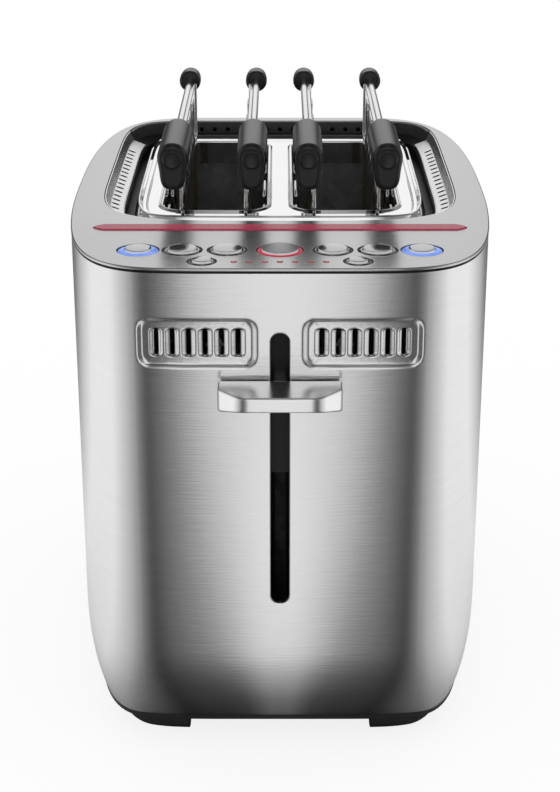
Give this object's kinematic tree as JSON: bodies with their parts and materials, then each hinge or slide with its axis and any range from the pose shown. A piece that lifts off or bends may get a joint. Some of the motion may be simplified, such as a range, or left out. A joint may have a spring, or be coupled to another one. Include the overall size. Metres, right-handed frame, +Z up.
{
  "type": "slotted sandwich toaster",
  "caption": "Long upright steel toaster with lift-out hinged sandwich cages, push buttons, lit bar, front lever and crumb tray.",
  "frame": {"origin": "middle of the overall footprint, lever and tray grip included, on the surface that the feet stand on", "axes": "+Z up, -Y towards the end with the lever and the buttons, +X to the right seen from that end"},
  "size_m": [0.19, 0.2994, 0.2647],
  "materials": {
    "brushed_steel": "satin, brushed in one direction",
    "polished_steel": "mirror polished",
    "wire": "plated wire",
    "black_plastic": "matte black",
    "rubber": "matte black",
    "button_cap": "satin silver dome",
    "clear_housing": "smoked clear plastic rings",
    "lit_blue": "translucent, lit from below",
    "lit_red": "translucent, lit from below",
    "crimson_bar": "translucent crimson",
    "inner_steel": "plain zinc-plated steel",
    "mica": "mica sheet with heating ribbon",
    "circuit_board": "green board"
  },
  "bodies": {
    "root": {"body_shell": "brushed_steel", "lever_slot_trim": "brushed_steel", "top_deck": "brushed_steel", "well_surround": "polished_steel", "rear_vent_strip": "black_plastic", "slot_insert": "polished_steel", "light_bar": "crimson_bar", "button_housing": "clear_housing", "light_ring_outer_left": "lit_blue", "light_ring_start": "lit_red", "light_ring_outer_right": "lit_blue", "level_lights": "lit_red", "base_pan": "black_plastic", "foot_front_left": "rubber", "foot_front_right": "rubber", "foot_rear_left": "rubber", "foot_rear_right": "rubber", "cord_gland": "rubber", "chassis_front": "inner_steel", "chassis_rear": "inner_steel", "heater_left": "mica", "heater_center": "mica", "heater_right": "mica", "guard_left_outer": "wire", "guard_left_inner": "wire", "guard_right_inner": "wire", "guard_right_outer": "wire", "guide_rod": "inner_steel", "latch_magnet": "inner_steel", "control_board": "circuit_board"},
    "lever": {"lever_paddle": "brushed_steel", "carriage": "black_plastic", "rack_left": "inner_steel", "rack_right": "inner_steel"},
    "crumb_tray": {"crumb_tray": "inner_steel"},
    "button_outer_left": {"button_outer_left": "button_cap"},
    "button_mid_left": {"button_mid_left": "button_cap"},
    "button_inner_left": {"button_inner_left": "button_cap"},
    "button_start": {"button_start": "button_cap"},
    "button_inner_right": {"button_inner_right": "button_cap"},
    "button_mid_right": {"button_mid_right": "button_cap"},
    "button_outer_right": {"button_outer_right": "button_cap"},
    "button_small_left": {"button_small_left": "button_cap"},
    "button_small_right": {"button_small_right": "button_cap"},
    "cage_left": {"cage_left_hinge_pin": "wire", "cage_left_frame_inner": "wire", "cage_left_handle_inner": "black_plastic", "cage_left_knob_inner": "black_plastic"},
    "cage_left_jaw": {"cage_left_frame_outer": "wire", "cage_left_handle_outer": "black_plastic", "cage_left_knob_outer": "black_plastic"},
    "cage_right": {"cage_right_hinge_pin": "wire", "cage_right_frame_inner": "wire", "cage_right_handle_inner": "black_plastic", "cage_right_knob_inner": "black_plastic"},
    "cage_right_jaw": {"cage_right_frame_outer": "wire", "cage_right_handle_outer": "black_plastic", "cage_right_knob_outer": "black_plastic"}
  },
  "joints": [
    {"name": "lever_slide", "type": "slide", "parent": "root", "child": "lever", "axis": [0, 0, 1], "range_m": [-0.094, 0.015]},
    {"name": "tray_slide", "type": "slide", "parent": "root", "child": "crumb_tray", "axis": [0, 1, 0], "range_m": [0, 0.15]},
    {"name": "press_outer_left", "type": "slide", "parent": "root", "child": "button_outer_left", "axis": [0, 0, 1], "range_m": [-0.0016, 0], "stiffness_N_per_m": 400},
    {"name": "press_mid_left", "type": "slide", "parent": "root", "child": "button_mid_left", "axis": [0, 0, 1], "range_m": [-0.0016, 0], "stiffness_N_per_m": 400},
    {"name": "press_inner_left", "type": "slide", "parent": "root", "child": "button_inner_left", "axis": [0, 0, 1], "range_m": [-0.0016, 0], "stiffness_N_per_m": 400},
    {"name": "press_start", "type": "slide", "parent": "root", "child": "button_start", "axis": [0, 0, 1], "range_m": [-0.0016, 0], "stiffness_N_per_m": 400},
    {"name": "press_inner_right", "type": "slide", "parent": "root", "child": "button_inner_right", "axis": [0, 0, 1], "range_m": [-0.0016, 0], "stiffness_N_per_m": 400},
    {"name": "press_mid_right", "type": "slide", "parent": "root", "child": "button_mid_right", "axis": [0, 0, 1], "range_m": [-0.0016, 0], "stiffness_N_per_m": 400},
    {"name": "press_outer_right", "type": "slide", "parent": "root", "child": "button_outer_right", "axis": [0, 0, 1], "range_m": [-0.0016, 0], "stiffness_N_per_m": 400},
    {"name": "press_small_left", "type": "slide", "parent": "root", "child": "button_small_left", "axis": [0, 0, 1], "range_m": [-0.0016, 0], "stiffness_N_per_m": 400},
    {"name": "press_small_right", "type": "slide", "parent": "root", "child": "button_small_right", "axis": [0, 0, 1], "range_m": [-0.0016, 0], "stiffness_N_per_m": 400},
    {"name": "cage_left_lift", "type": "slide", "parent": "root", "child": "cage_left", "axis": [0, 0, 1], "range_m": [0, 0.12]},
    {"name": "cage_left_open", "type": "hinge", "parent": "cage_left", "child": "cage_left_jaw", "pos_m": [-0.0302, 0.04045, 0.1709], "axis": [0, -1, 0], "range_deg": [0, 42]},
    {"name": "cage_right_lift", "type": "slide", "parent": "root", "child": "cage_right", "axis": [0, 0, 1], "range_m": [0, 0.12]},
    {"name": "cage_right_open", "type": "hinge", "parent": "cage_right", "child": "cage_right_jaw", "pos_m": [0.0302, 0.04045, 0.1709], "axis": [0, 1, 0], "range_deg": [0, 42]}
  ],
  "couplings": [
    {"joint": "cage_left_open", "follows": "cage_left_lift", "rad_per_m": 6},
    {"joint": "cage_right_open", "follows": "cage_right_lift", "rad_per_m": 6}
  ]
}
